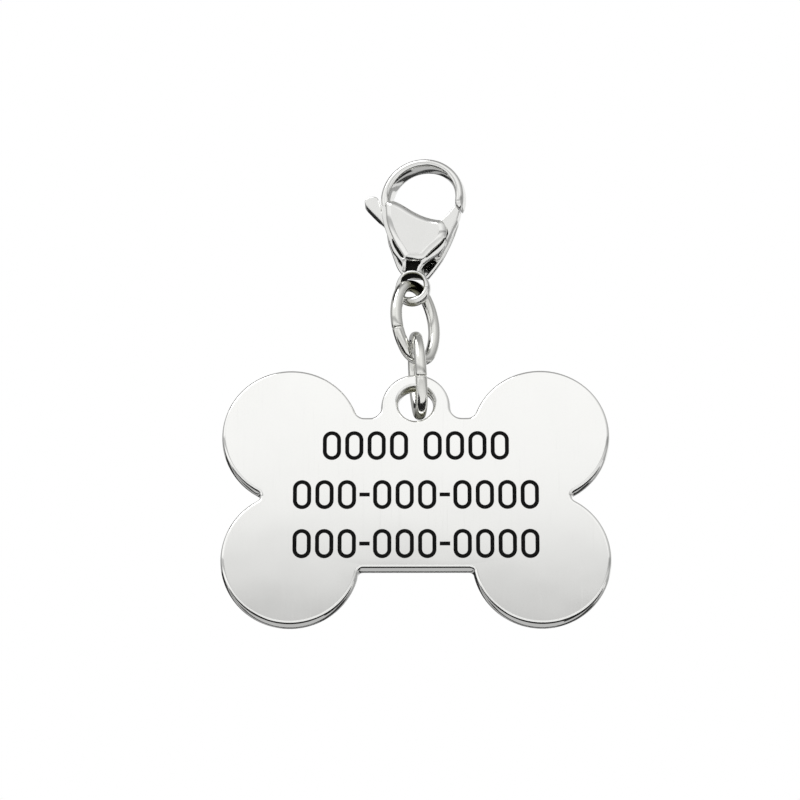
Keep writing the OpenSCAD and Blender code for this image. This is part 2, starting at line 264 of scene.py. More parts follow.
def mesh_from_rings(rings, closed_path=False):
    """A mesh through rings of equal length; open ends get flat caps."""
    count = len(rings[0])
    verts = [tuple(p) for ring in rings for p in ring]
    faces = []
    spans = len(rings) if closed_path else len(rings) - 1
    for i in range(spans):
        a, b = i * count, ((i + 1) % len(rings)) * count
        for j in range(count):
            k = (j + 1) % count
            faces.append((a + j, a + k, b + k, b + j))
    if not closed_path:
        faces.append(tuple(reversed(range(count))))
        faces.append(tuple(range((len(rings) - 1) * count, len(rings) * count)))
    mesh = bpy.data.meshes.new("rings")
    mesh.from_pydata(verts, [], faces)
    clean(mesh)
    return mesh


def clean(mesh, distance=1e-4):
    """Merges doubled points and turns all faces outwards."""
    work = bmesh.new()
    work.from_mesh(mesh)
    bmesh.ops.remove_doubles(work, verts=work.verts, dist=distance)
    bmesh.ops.recalc_face_normals(work, faces=work.faces)
    work.to_mesh(mesh)
    work.free()
    mesh.update()


def plate_mesh(loops, front, back, rounding, segments=3):
    """A flat plate with holes, between two depths along Y, with rounded edges."""
    curve = bpy.data.curves.new("plate", "CURVE")
    curve.dimensions = "2D"
    curve.fill_mode = "BOTH"
    curve.extrude = (back - front) / 2 - rounding
    curve.bevel_depth = rounding
    curve.bevel_resolution = segments
    curve.offset = -rounding
    for loop in loops:
        spline = curve.splines.new("POLY")
        spline.points.add(len(loop) - 1)
        spline.use_cyclic_u = True
        for point, (x, z) in zip(spline.points, loop):
            point.co = (x, z, 0.0, 1.0)
    holder = bpy.data.objects.new("plate", curve)
    bpy.context.scene.collection.objects.link(holder)
    bpy.context.view_layer.update()
    mesh = bpy.data.meshes.new_from_object(holder.evaluated_get(bpy.context.evaluated_depsgraph_get()))
    bpy.data.objects.remove(holder)
    bpy.data.curves.remove(curve)
    mesh.transform(Matrix.Translation((0, (front + back) / 2, 0)) @ Matrix.Rotation(math.pi / 2, 4, "X"))
    clean(mesh, 2e-4)
    return mesh


def flattened(mesh):
    """Joins the small triangles of flat faces, so that their shading stays flat."""
    work = bmesh.new()
    work.from_mesh(mesh)
    bmesh.ops.dissolve_limit(work, angle_limit=math.radians(0.5), verts=work.verts, edges=work.edges,
                             use_dissolve_boundaries=False)
    work.to_mesh(mesh)
    work.free()
    return mesh


def bulged(mesh, flat, bulge):
    """Crowns a plate's edge wall slightly, between two depths at equal distance from its middle."""
    work = bmesh.new()
    work.from_mesh(mesh)
    for depth_share in (-0.7, -0.4, -0.13, 0.13, 0.4, 0.7):
        bmesh.ops.bisect_plane(work, geom=work.verts[:] + work.edges[:] + work.faces[:],
                               plane_co=(0, depth_share * flat, 0), plane_no=(0, 1, 0))
    work.normal_update()
    moves = []
    for vert in work.verts:
        across = math.hypot(vert.normal.x, vert.normal.z)
        if abs(vert.co.y) < flat and across > 0.5:
            step = bulge * (1 - (vert.co.y / flat) ** 2) / across
            moves.append((vert, Vector((vert.normal.x * step, 0, vert.normal.z * step))))
    for vert, move in moves:
        vert.co += move
    work.to_mesh(mesh)
    work.free()
    return mesh


def carved(mesh, cutter):
    """A mesh with another one cut out of it."""
    holders = []
    for name, part in (("blank", mesh), ("cutter", cutter)):
        holder = bpy.data.objects.new(name, part)
        bpy.context.scene.collection.objects.link(holder)
        holders.append(holder)
    modifier = holders[0].modifiers.new("carve", "BOOLEAN")
    modifier.operation = "DIFFERENCE"
    modifier.solver = "EXACT"
    modifier.object = holders[1]
    bpy.context.view_layer.update()
    result = bpy.data.meshes.new_from_object(holders[0].evaluated_get(bpy.context.evaluated_depsgraph_get()))
    for holder in holders:
        bpy.data.objects.remove(holder)
    return result


def joined(meshes):
    """Several meshes as one."""
    work = bmesh.new()
    for mesh in meshes:
        work.from_mesh(mesh)
    result = bpy.data.meshes.new("joined")
    work.to_mesh(result)
    work.free()
    return result


def make_piece(name, mesh, body, material, place, node, sharp=38.0):
    """Turns a mesh in millimetres into a finished piece on its body, in a node's stead."""
    mesh.transform(Matrix.Scale(MM, 4) @ place)
    mesh.name = name
    mesh.polygons.foreach_set("use_smooth", [True] * len(mesh.polygons))
    mesh.set_sharp_from_angle(angle=math.radians(sharp))
    finish_of_face = [face.material_index for face in mesh.polygons]
    mesh.materials.clear()
    for finish in material if isinstance(material, tuple) else (material,):
        mesh.materials.append(finish)
    if isinstance(material, tuple):
        mesh.polygons.foreach_set("material_index", finish_of_face)
    piece = bpy.data.objects.new(name, mesh)
    bpy.context.scene.collection.objects.link(piece)
    weighted = piece.modifiers.new("flat faces stay flat", "WEIGHTED_NORMAL")
    weighted.keep_sharp = True
    weighted.mode = "FACE_AREA"
    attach(piece, body)
    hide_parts(node)


def dress_node(node, material):
    """Gives a carried-over node its material."""
    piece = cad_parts[node]
    if not piece.material_slots:
        piece.data.materials.append(material)
    for holder in piece.material_slots:
        holder.material = material


# Shader nodes


class Signal:
    """A socket that can be used in plain arithmetic."""

    def __init__(self, recipe, socket):
        self.recipe = recipe
        self.socket = socket

    def maths(self, operation, a, b):
        """The outcome of a Math node on two values."""
        return self.recipe.add("ShaderNodeMath", {"operation": operation}, {0: a, 1: b})

    def __add__(self, other):
        return self.maths("ADD", self, other)

    __radd__ = __add__

    def __sub__(self, other):
        return self.maths("SUBTRACT", self, other)

    def __rsub__(self, other):
        return self.maths("SUBTRACT", other, self)

    def __mul__(self, other):
        return self.maths("MULTIPLY", self, other)

    __rmul__ = __mul__


class Recipe:
    """A node tree that is filled one node at a time."""

    def __init__(self, tree):
        self.tree = tree
        tree.nodes.clear()

    def add(self, kind, settings=None, values=None, out=0):
        """Adds a node with its settings and its sockets' values or links, and returns an output."""
        node = self.tree.nodes.new(kind)
        for name, value in (settings or {}).items():
            if name == "stops":
                ramp = node.color_ramp
                while len(ramp.elements) < len(value):
                    ramp.elements.new(1.0)
                for element, (position, shade) in zip(ramp.elements, value):
                    element.position = position
                    element.color = (shade, shade, shade, 1.0)
            else:
                setattr(node, name, value)
        for name, value in (values or {}).items():
            socket = node.inputs[name]
            if isinstance(value, Signal):
                self.tree.links.new(value.socket, socket)
            elif isinstance(value, tuple) and len(value) == 3 and socket.type == "RGBA":
                socket.default_value = (*value, 1.0)
            else:
                socket.default_value = value
        return Signal(self, node.outputs[out] if node.outputs else None)

    def mix(self, factor, first, second, blend="MIX"):
        """Two colours mixed by a factor."""
        return self.add("ShaderNodeMix", {"data_type": "RGBA", "blend_type": blend},
                        {"Factor": factor, 6: first, 7: second}, out=2)


def new_material(name):
    """An empty node material and its recipe."""
    material = bpy.data.materials.new(name)
    material.use_nodes = True
    return material, Recipe(material.node_tree)


def steel(name, tint, polish, cloud_scale, cloud_amount, scratch_amount, scratch_turn, shade_spots=(), waves=0.0):
    """Polished steel with clouds, hairline scratches, slow waves, and painted olive-dark shade where parts
    touch.
    """
    material, recipe = new_material(name)
    place = recipe.add("ShaderNodeTexCoord", out="Object")
    cloud = recipe.add("ShaderNodeTexNoise", {}, {"Vector": place, "Scale": cloud_scale, "Detail": 3.0,
                                                  "Roughness": 0.6})
    lines_place = recipe.add("ShaderNodeMapping", {}, {"Vector": place, "Rotation": (0.0, scratch_turn, 0.0),
                                                       "Scale": (9000.0, 2500.0, 160.0)})
    lines = recipe.add("ShaderNodeTexNoise", {}, {"Vector": lines_place, "Scale": 1.0, "Detail": 2.0})
    scratches = recipe.add("ShaderNodeValToRGB", {"stops": [(0.0, 0.0), (0.62, 0.0), (0.74, 1.0)]},
                           {"Fac": lines})
    roughness = polish + cloud * cloud_amount + scratches * scratch_amount
    shade = tuple(0.93 * part for part in tint)
    base = recipe.mix(cloud, shade, tint)
    # Painted shade: an olive-dark colour mixed into the base colour round each spot where parts touch
    for centre, reach in shade_spots:
        gap = recipe.add("ShaderNodeVectorMath", {"operation": "DISTANCE"}, {0: place, 1: centre},
                         out="Value")
        contact_shade_mask = recipe.add("ShaderNodeMapRange", {"interpolation_type": "SMOOTHSTEP"},
                             {"Value": gap, "From Min": 0.35 * reach, "From Max": reach, "To Min": 0.95,
                              "To Max": 0.0}) * (0.75 + cloud * 0.5)
        base = recipe.mix(contact_shade_mask, base, PAINTED_CONTACT_SHADE)
    bump = recipe.add("ShaderNodeBump", {}, {"Strength": 0.06, "Distance": 2e-6, "Height": lines})
    if waves:
        swell = recipe.add("ShaderNodeTexNoise", {}, {"Vector": place, "Scale": 110.0, "Detail": 1.5})
        bump = recipe.add("ShaderNodeBump", {}, {"Strength": 1.0, "Distance": waves, "Height": swell,
                                                 "Normal": bump})
    shader = recipe.add("ShaderNodeBsdfPrincipled", {}, {"Base Color": base, "Metallic": 1.0,
                                                         "Roughness": roughness, "Normal": bump})
    recipe.add("ShaderNodeOutputMaterial", {}, {"Surface": shader})
    return material


def matt_black(name, tint):
    """Matt black with a very fine grain."""
    material, recipe = new_material(name)
    place = recipe.add("ShaderNodeTexCoord", out="Object")
    grain = recipe.add("ShaderNodeTexNoise", {}, {"Vector": place, "Scale": 4000.0, "Detail": 2.0})
    lighter = tuple(part * 2.2 for part in tint)
    base = recipe.mix(grain, tint, lighter)
    bump = recipe.add("ShaderNodeBump", {}, {"Strength": 0.2, "Distance": 5e-6, "Height": grain})
    shader = recipe.add("ShaderNodeBsdfPrincipled", {}, {"Base Color": base, "Roughness": 0.6 + grain * 0.15,
                                                         "Normal": bump, "Specular IOR Level": 0.08})
    recipe.add("ShaderNodeOutputMaterial", {}, {"Surface": shader})
    return material


FINISHES = {}
# Painted shade where parts touch: an olive-dark colour, and the spots (centre and reach in metres) at the
# ear, the eye and the links where it is painted
PAINTED_CONTACT_SHADE = (0.24, 0.235, 0.15)
EAR_SHADE_SPOTS = (((-0.0006, 0.0, -0.0236), 0.0012),)
EYE_SHADE_SPOTS = (((-0.0004, 0.0004, -0.0141), 0.0011),)
LINK_SHADE_SPOTS = (((-0.0002, 0.0001, -0.0118), 0.0017), ((0.0001, 0.0001, -0.0189), 0.0012),
             ((0.0003, 0.0, -0.0259), 0.0014))


def finish_named(name):
    """One of the tag's finishes, made when it is first asked for."""
    if name in FINISHES:
        return FINISHES[name]
    look = bpy.context.scene.pet_tag_finish
    if name == "tag_steel":
        made = steel("tag steel", tuple(look.plate_colour), look.plate_polish, 160.0, 0.04, 0.04, 0.35,
                     EAR_SHADE_SPOTS, 1.2e-5)
    elif name == "clasp_steel":
        made = steel("clasp steel", tuple(look.clasp_colour), look.clasp_polish, 500.0, 0.08, 0.04, 0.8,
                     EYE_SHADE_SPOTS)
    elif name == "link_wire":
        made = steel("link wire", tuple(look.link_colour), look.link_polish, 700.0, 0.1, 0.05, -0.4,
                     LINK_SHADE_SPOTS)
    # Matt black used as painted shade in the clasp's gaps, grooves, neck front and eye hole
    elif name == "painted_shade_black":
        made = matt_black("painted shade black", (0.005, 0.005, 0.004))
    elif name == "spring_steel":
        made = steel("spring steel", (0.6, 0.57, 0.5), 0.25, 900.0, 0.15, 0.1, 0.0)
    else:
        made = matt_black("number black", tuple(look.number_colour))
    FINISHES[name] = made
    return made


# Tag plate


def tag_outline(sizes):
    """The plate's outline round its middle, from the ear's top clockwise."""
    lobe_r, lobe_x, lobe_z = in_mm(sizes.lobe_radius), in_mm(sizes.lobe_out), in_mm(sizes.lobe_up)
    top, bottom = in_mm(sizes.waist_top), in_mm(sizes.waist_bottom)
    ear_r, ear_z = in_mm(sizes.ear_radius), in_mm(sizes.ear_up)
    foot_r, shoulder_r, low_r, side_r = 1.2, 1.0, 0.55, 0.55
    foot = (math.sqrt((ear_r + foot_r) ** 2 - (top + foot_r - ear_z) ** 2), top + foot_r)
    shoulder_z = top + shoulder_r
    shoulder = (lobe_x - math.sqrt((lobe_r + shoulder_r) ** 2 - (shoulder_z - lobe_z) ** 2), shoulder_z)
    side = (lobe_x + math.sqrt((lobe_r + side_r) ** 2 - lobe_z ** 2), 0.0)
    low_z = -(bottom + low_r)
    low = (lobe_x - math.sqrt((lobe_r + low_r) ** 2 - (low_z + lobe_z) ** 2), low_z)
    upper, lower, ear = (lobe_x, lobe_z), (lobe_x, -lobe_z), (0.0, ear_z)
    half = arc(ear, ear_r, 90.0, bearing(ear, foot))
    half += arc(foot, foot_r, 180.0 + bearing(ear, foot), 270.0, 8.0)[1:]
    half += arc(shoulder, shoulder_r, 270.0, 360.0 + bearing(shoulder, upper), 8.0)
    half += arc(upper, lobe_r, bearing(upper, shoulder), bearing(upper, side), 2.0)[1:]
    half += arc(side, side_r, 180.0 + bearing(upper, side), 180.0 - bearing(upper, side), 10.0)[1:]
    half += arc(lower, lobe_r, bearing(lower, side), bearing(lower, low), 2.0)[1:]
    half += arc(low, low_r, bearing(low, lower), 90.0, 8.0)[1:]
    half.append((0.0, -bottom))
    return mirrored(half)


# Digits in millimetres, then each row's height, its digits, where its gaps come, and the kind of gap
DIGIT = {"width": 1.89, "height": 3.16, "stroke": 0.42, "step": 2.31, "space": 1.17, "hyphen": 1.32,
         "hyphen_width": 1.07}
WALL_BULGE = 0.06
ROWS = ((5.47, 8, (4,), "space"), (0.12, 10, (3, 6), "hyphen"), (-5.19, 10, (3, 6), "hyphen"))


def stadium(x, z, radius, rise):
    """A closed upright slot outline."""
    return arc((x, z + rise), radius, 0.0, 180.0, 12.0) + arc((x, z - rise), radius, 180.0, 360.0, 12.0)


def number_loops():
    """Outlines of all the digits and hyphens, outer and inner loops together."""
    loops = []
    for z, count, groups, kind in ROWS:
        extra = DIGIT[kind]
        whole = (count - 1) * DIGIT["step"] + len(groups) * extra
        places = [i * DIGIT["step"] + sum(i >= g for g in groups) * extra - whole / 2 for i in range(count)]
        radius = DIGIT["width"] / 2
        rise = (DIGIT["height"] - DIGIT["width"]) / 2
        for x in places:
            loops.append(stadium(x, z, radius, rise))
            loops.append(stadium(x, z, radius - DIGIT["stroke"], rise))
        if kind == "hyphen":
            for g in groups:
                x = (places[g] + places[g - 1]) / 2
                w, h = DIGIT["hyphen_width"] / 2, DIGIT["stroke"] / 2
                loops.append([(x - w, z - h), (x + w, z - h), (x + w, z + h), (x - w, z + h)])
    return loops


class PETTAG_OT_plate(bpy.types.Operator):
    """Makes the polished plate with rounded edges and engraved numbers"""
    bl_idname = "pet_tag.plate"
    bl_label = "Tag Plate"

    def execute(self, context):
        sizes = context.scene.pet_tag_plate
        half = in_mm(sizes.thickness) / 2
        low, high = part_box("tag_plate")
        middle = (low[2] + high[2]) / 2
        hole = arc((0.0, in_mm(sizes.hole_up)), in_mm(sizes.hole_radius), 0.0, 360.0, 5.0)[:-1]
        blank = plate_mesh([tag_outline(sizes), hole], -half, half, in_mm(sizes.edge_round))
        bulged(blank, half - in_mm(sizes.edge_round), WALL_BULGE)
        depth = in_mm(sizes.engraving)
        cutter = plate_mesh(number_loops(), -half - depth, -half + depth, 0.0, 0)
        plate = flattened(carved(blank, cutter))
        place = Matrix.Translation((0, 0, in_mm(middle)))
        make_piece("polished_plate", plate, "tag", finish_named("tag_steel"), place,
                   "tag_plate")
        return {"FINISHED"}


class PETTAG_OT_numbers(bpy.types.Operator):
    """Blackens the filling of the engraved numbers"""
    bl_idname = "pet_tag.numbers"
    bl_label = "Number Filling"

    def execute(self, context):
        dress_node("number_infill", finish_named("number_black"))
        return {"FINISHED"}


# Links


def outward(point, centre):
    """The direction away from a centre, one millimetre long."""
    dx, dz = point[0] - centre[0], point[1] - centre[1]
    size = math.hypot(dx, dz)
    return dx / size, dz / size


def link_mesh(sizes):
    """An oval link whose wire starts and ends at the joint low on its +X side."""
    wire, long_half = in_mm(sizes.wire), (in_mm(sizes.long_side) - in_mm(sizes.wire)) / 2
    short_half, end_r = (in_mm(sizes.short_side) - wire) / 2, in_mm(sizes.end_radius)
    bow_r = (long_half ** 2 + short_half ** 2 - 2 * long_half * end_r) / (2 * (short_half - end_r))
    turn = math.degrees(math.atan((bow_r - short_half) / (long_half - end_r)))
    right, left = (short_half - bow_r, 0.0), (bow_r - short_half, 0.0)
    upper, lower = (0.0, long_half - end_r), (0.0, end_r - long_half)
    half_gap = math.degrees(in_mm(sizes.joint_gap) / 2 / bow_r)
    low = -math.degrees(in_mm(sizes.joint_low) / bow_r)
    line = [(p, right) for p in arc(right, bow_r, low + half_gap, 90.0 - turn, 2.5)]
    line += [(p, upper) for p in arc(upper, end_r, 90.0 - turn, 90.0 + turn, 6.0)[1:]]
    line += [(p, left) for p in arc(left, bow_r, 90.0 + turn, 270.0 - turn, 2.5)[1:]]
    line += [(p, lower) for p in arc(lower, end_r, 270.0 - turn, 270.0 + turn, 6.0)[1:]]
    line += [(p, right) for p in arc(right, bow_r, 270.0 + turn, 360.0 + low - half_gap, 2.5)[1:]]
    section = superellipse(wire / 2, wire / 2, sizes.squareness, 32)
    rings = []
    for (px, pz), centre in line:
        nx, nz = outward((px, pz), centre)
        rings.append([(px + nx * u, v, pz + nz * u) for u, v in section])
    chamfer = 0.06
    ends = []
    for index, step in ((0, 1), (-1, -1)):
        (px, pz), centre = line[index]
        nx, nz = outward((px, pz), centre)
        tx, tz = -nz * step, nx * step
        ends.append([[(px + nx * u * s + tx * d, v * s, pz + nz * u * s + tz * d) for u, v in section]
                     for d, s in ((0.0, 0.86), (0.25 * chamfer, 0.94), (chamfer, 0.99))])
    return mesh_from_rings(ends[0] + rings[1:-1] + ends[1][::-1])


class PETTAG_OT_links(bpy.types.Operator):
    """Makes the two oval wire links"""
    bl_idname = "pet_tag.links"
    bl_label = "Oval Links"

    def execute(self, context):
        sizes = context.scene.pet_tag_links
        for node, lean, turn in (("upper_link", -4.8, 221.0), ("lower_link", -4.0, -83.0)):
            low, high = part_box(node)
            middle = Vector([(a + b) / 2 for a, b in zip(low, high)]) / MM
            place = (Matrix.Translation(middle) @ Matrix.Rotation(math.radians(lean), 4, "Y")
                     @ Matrix.Rotation(math.radians(turn), 4, "Z"))
            make_piece("wire_" + node, link_mesh(sizes), node, finish_named("link_wire"), place,
                       node, sharp=50.0)
        return {"FINISHED"}


# Lobster clasp, drawn in its own frame with X right, Z up and the front at -Y


CLASP_PLACE = (Matrix.Translation((0.98, 0.0, -2.57)) @ Matrix.Rotation(math.radians(-12.0), 4, "Z")
               @ Matrix.Rotation(math.radians(7.5), 4, "Y"))
HOOK_CENTRE = (-0.2, 0.45)
MOUTH_CENTRE = (-0.12, 0.42)
EYE_CENTRE = (-0.04, -9.56)
PIVOT = (-1.0, -4.3)
SHIELD_EDGE = [(-4.0, -0.2), (-3.3, -0.12), (-2.78, -0.24), (-2.13, -0.54), (-0.97, -1.18), (0.07, -1.65),
               (1.07, -1.95), (1.84, -2.06), (2.35, -2.13), (2.72, -2.45), (2.95, -2.93), (3.03, -3.42),
               (2.95, -3.98), (2.72, -4.5), (2.3, -5.05), (1.78, -5.62), (1.32, -6.2), (1.05, -6.55),
               (0.7, -6.78), (-0.04, -6.83), (-0.7, -6.8), (-1.02, -6.68), (-1.27, -6.4), (-1.62, -5.92),
               (-2.37, -4.96), (-2.97, -3.97), (-3.4, -3.08), (-3.71, -2.19), (-3.95, -1.06), (-4.07, -0.5)]
FRONT_LEFT_SIDE = [(-4.43, -0.5), (-4.3, -1.35), (-4.13, -2.05), (-3.82, -2.95), (-3.48, -3.7), (-3.14, -4.4),
                   (-2.72, -5.3), (-2.39, -5.88), (-2.0, -6.3), (-1.5, -6.83), (-1.22, -7.2), (-1.25, -8.0)]
REAR_LEFT_SIDE = [(-4.43, -0.5), (-4.3, -1.35), (-4.13, -2.05), (-3.95, -2.95), (-3.78, -3.7), (-3.6, -4.3),
                  (-3.2, -5.1), (-2.8, -5.95), (-2.35, -6.85), (-2.1, -7.2), (-1.75, -7.6), (-1.3, -8.0)]
FRONT_RIGHT_SIDE = [(0.74, -8.0), (0.77, -7.45), (1.03, -6.98), (1.56, -6.51), (2.09, -6.16), (2.52, -5.79),
                    (2.88, -5.3), (3.1, -4.8), (3.1, -4.3), (2.85, -3.8)]
REAR_RIGHT_SIDE = [(1.12, -8.1), (1.4, -7.74), (1.62, -7.39), (2.02, -6.72), (2.48, -5.85), (2.8, -5.0),
                   (3.15, -4.0), (3.44, -3.0), (3.64, -2.1), (3.72, -1.5), (3.6, -1.2), (3.35, -1.45),
                   (2.95, -2.2)]
BROW = [(2.5, -2.6), (1.9, -2.32), (1.07, -2.2), (0.07, -1.9), (-0.97, -1.45), (-2.13, -0.8),
        (-3.0, -0.5), (-3.7, -0.42)]
LEFT_GAP = [(-3.2, -4.4), (-2.87, -5.25), (-2.54, -5.86), (-2.12, -6.32), (-1.62, -6.88), (-1.28, -7.28),
            (-1.0, -7.1), (-1.4, -6.5), (-2.2, -5.6), (-2.8, -4.6)]
RIGHT_GAP = [(1.2, -5.3), (1.6, -5.35), (1.72, -5.68), (1.22, -6.38), (0.66, -7.02), (0.3, -6.9), (0.3, -6.2),
             (0.9, -5.7)]
SCOOP = [(-0.8, -8.0), (-0.82, -7.3), (-0.9, -6.86), (-0.84, -6.6), (0.7, -6.55), (0.8, -6.8), (0.62, -7.15),
         (0.42, -7.5), (0.36, -8.0)]


def hook_mesh(sizes):
    """The hook's band, swept from its root on the left over the top to the nose."""
    outer_r, inner_r = in_mm(sizes.hook_radius), in_mm(sizes.mouth_radius)
    half_depth = in_mm(sizes.hook_depth) / 2
    start, inner_end, outer_end = 197.0, -4.3, -13.5
    steps = 72
    rings = []
    for i in range(steps + 1):
        t = i / steps
        inner_angle = math.radians(start + (inner_end - start) * t)
        outer_angle = inner_angle + math.radians(outer_end - inner_end) * eased((t - 0.8) / 0.2)
        inner = Vector((MOUTH_CENTRE[0] + inner_r * math.cos(inner_angle),
                        MOUTH_CENTRE[1] + inner_r * math.sin(inner_angle)))
        outer = Vector((HOOK_CENTRE[0] + outer_r * math.cos(outer_angle),
                        HOOK_CENTRE[1] + outer_r * math.sin(outer_angle)))
        middle, reach = (inner + outer) / 2, (outer - inner) / 2
        depth = half_depth * (1.0 - 0.12 * t * t)
        shrink = {steps: 0.86, steps - 1: 0.96}.get(i, 1.0)
        rings.append([(middle.x + reach.x * u * shrink, v * depth * shrink, middle.y + reach.y * u * shrink)
                      for u, v in superellipse(1.0, 1.0, 2.7, 48)])
    return mesh_from_rings(rings)


def shield_mesh(sizes):
    """The raised shield in front: a soft-edged cushion of metal."""
    edge = in_mm(sizes.shield_round)
    outline = softened(smooth_closed(SHIELD_EDGE, 5), 0.12, 4)
    base, wall, top = -0.95, -1.04, -1.6
    steps, last = 12, math.radians(66.0)
    profile = [(0.0, base)]
    for i in range(steps + 1):
        angle = last * i / steps
        rise = math.sin(angle) / math.sin(last)
        profile.append((edge * (1 - math.cos(angle)), wall + (top - wall) * rise))
    profile.append((profile[-1][0] + 0.02, top - 0.003))
    rings = [[(x, y, z) for x, z in inset_loop(outline, inset)] for inset, y in profile]
    return mesh_from_rings(rings)


def neck_mesh():
    """The tapered neck between the shells, down to the eye, with painted shade on its front and upper right
    side.
    """
    rings = []
    for z, left, right, front, rear in ((-6.2, -1.5, 0.62, -0.62, 0.7), (-6.8, -1.4, 0.6, -0.62, 0.7),
                                        (-7.25, -1.3, 0.62, -0.62, 0.7), (-7.66, -1.2, 0.64, -0.62, 0.7),
                                        (-7.78, -1.1, 0.6, -0.5, 0.65), (-8.0, -0.95, 0.7, -0.35, 0.5)):
        middle, half = (left + right) / 2, (right - left) / 2
        rings.append([(middle + u, (front + rear) / 2 + v, z)
                      for u, v in superellipse(half, (rear - front) / 2, 6.0, 40)])
    mesh = mesh_from_rings(rings)
    # Painted shade: the neck's front faces and its upper right side get the black shade finish
    for face in mesh.polygons:
        on_right_side = face.center.x > 0.5 and face.center.z > -7.0
        face.material_index = 1 if face.center.y < -0.4 or on_right_side else 0
    return mesh


def eye_mesh(sizes):
    """The eye: a ring of rounded section, deeper and slimmer at the neck, thicker at its right foot, with
    painted shade inside its top.
    """
    outer, inner = in_mm(sizes.eye_radius), in_mm(sizes.eye_hole)
    rear, deeper, slimmer, thicker = 0.55, 0.48, 0.22, 0.25
    steps = 72
    rings = []
    for i in range(steps):
        angle = 2 * math.pi * i / steps
        c, s = math.cos(angle), math.sin(angle)
        top = eased((s - 0.1) / 0.8)
        clear_of_link = min(1.0, max(0.0, (c + 0.75) / 0.7))
        low = inner + slimmer * top - thicker * clear_of_link * eased((0.1 - s) / 0.9)
        middle, half = (outer + low) / 2, (outer - low) / 2
        front = rear + deeper * top
        ring = []
        for u, v in superellipse(half, 1.0, 2.5, 28):
            reach, depth = middle + u, front if v < 0 else rear
            ring.append((EYE_CENTRE[0] + reach * c, v * depth, EYE_CENTRE[1] + reach * s))
        rings.append(ring)
    mesh = mesh_from_rings(rings, closed_path=True)
    # Painted shade: black on the front of the inner wall at the top of the eye's hole and at its right
    for face in mesh.polygons:
        x, z = face.center.x - EYE_CENTRE[0], face.center.z - EYE_CENTRE[1]
        reach = math.hypot(x, z)
        wall = inner + 0.1 + 0.2 * min(1.0, max(0.0, (z / reach - 0.1) / 0.6))
        shaded = reach < wall and (z > 0.1 or x > 0.75)
        face.material_index = 1 if shaded and face.center.y > -0.85 else 0
    return mesh


def groove_loops(width):
    """The narrow grooves between the shield and the rims beside its lower half."""
    steps = 4
    fine = smooth_closed(SHIELD_EDGE, steps)
    loops = []
    for first, last in ((12 * steps, 16 * steps + 2), (21 * steps + 3, 24 * steps + 2)):
        outward = drawn_in(fine, -1.0)
        outer = []
        for i in range(last, first - 1, -1):
            t = (i - first) / (last - first)
            reach = width * (0.2 + 0.8 * math.sin(math.pi * t) ** 0.6)
            (x, z), (ox, oz) = fine[i], outward[i]
            outer.append((x + (ox - x) * reach, z + (oz - z) * reach))
        loops.append(drawn_in(fine, 0.1)[first:last + 1] + outer)
    return loops


def painted_shade_gap_meshes():
    """Black sheets of painted shade on the groove floors and in the gaps between the shells."""
    meshes = [plate_mesh([loop], -1.02, -0.9, 0.0, 0) for loop in groove_loops(0.4)]
    meshes.append(plate_mesh([LEFT_GAP], -0.7, -0.62, 0.0, 0))
    meshes.append(plate_mesh([RIGHT_GAP], 0.61, 0.7, 0.0, 0))
    for mesh in meshes:
        for face in mesh.polygons:
            face.material_index = 1
    return meshes


class PETTAG_OT_clasp(bpy.types.Operator):
    """Makes the clasp's body: hook, shells, shield, neck and eye"""
    bl_idname = "pet_tag.clasp"
    bl_label = "Clasp Body"

    def execute(self, context):
        sizes = context.scene.pet_tag_clasp
        front = FRONT_LEFT_SIDE + SCOOP + FRONT_RIGHT_SIDE + BROW
        rear = REAR_LEFT_SIDE + [(-1.2, -8.05)] + REAR_RIGHT_SIDE + BROW
        right_groove, left_groove = groove_loops(0.24)
        front_shell = plate_mesh([softened(front), left_groove], -1.22, -0.66, 0.1)
        groove_cutter = plate_mesh([right_groove], -1.4, -0.5, 0.0, 0)
        front_shell = flattened(carved(front_shell, groove_cutter))
        rear_shell = flattened(plate_mesh([softened(rear)], 0.66, 1.3, 0.25))
        parts = [hook_mesh(sizes), front_shell, rear_shell, shield_mesh(sizes), neck_mesh(), eye_mesh(sizes)]
        parts += painted_shade_gap_meshes()
        # The second finish is painted shade: black for the grooves, gaps, neck front and eye hole
        finishes = (finish_named("clasp_steel"), finish_named("painted_shade_black"))
        make_piece("clasp_casting", joined(parts), "clasp", finishes, CLASP_PLACE,
                   "clasp_body", sharp=45.0)
        return {"FINISHED"}


GATE_EDGE = [(3.42, 0.07), (3.3, -0.24), (3.12, -0.52), (2.76, -1.1), (2.19, -1.72), (1.5, -2.25),
             (0.8, -2.65), (-0.2, -2.95), (-1.3, -3.0), (-2.6, -2.75), (-3.5, -2.45), (-3.94, -1.95),
             (-4.34, -1.27), (-4.67, -0.48), (-4.93, 0.14), (-5.14, 0.44), (-5.55, 0.54), (-6.1, 0.44),
             (-6.38, 0.2), (-6.46, -0.1), (-6.38, -0.38), (-6.06, -0.72), (-5.35, -1.37), (-4.6, -2.02),
             (-3.86, -2.82), (-3.0, -3.6), (-2.3, -4.4), (-1.95, -4.85), (-1.5, -5.2), (-1.0, -5.35),
             (-0.3, -5.4), (0.9, -5.75), (1.9, -5.95), (2.3, -5.7), (2.65, -5.0), (2.98, -4.2), (3.3, -3.3),
             (3.56, -2.45), (3.82, -1.7), (3.93, -1.1), (3.97, -0.66)]
TAB_STARTS = -3.9
TAB_SHIFT = (0.14, 0.16)


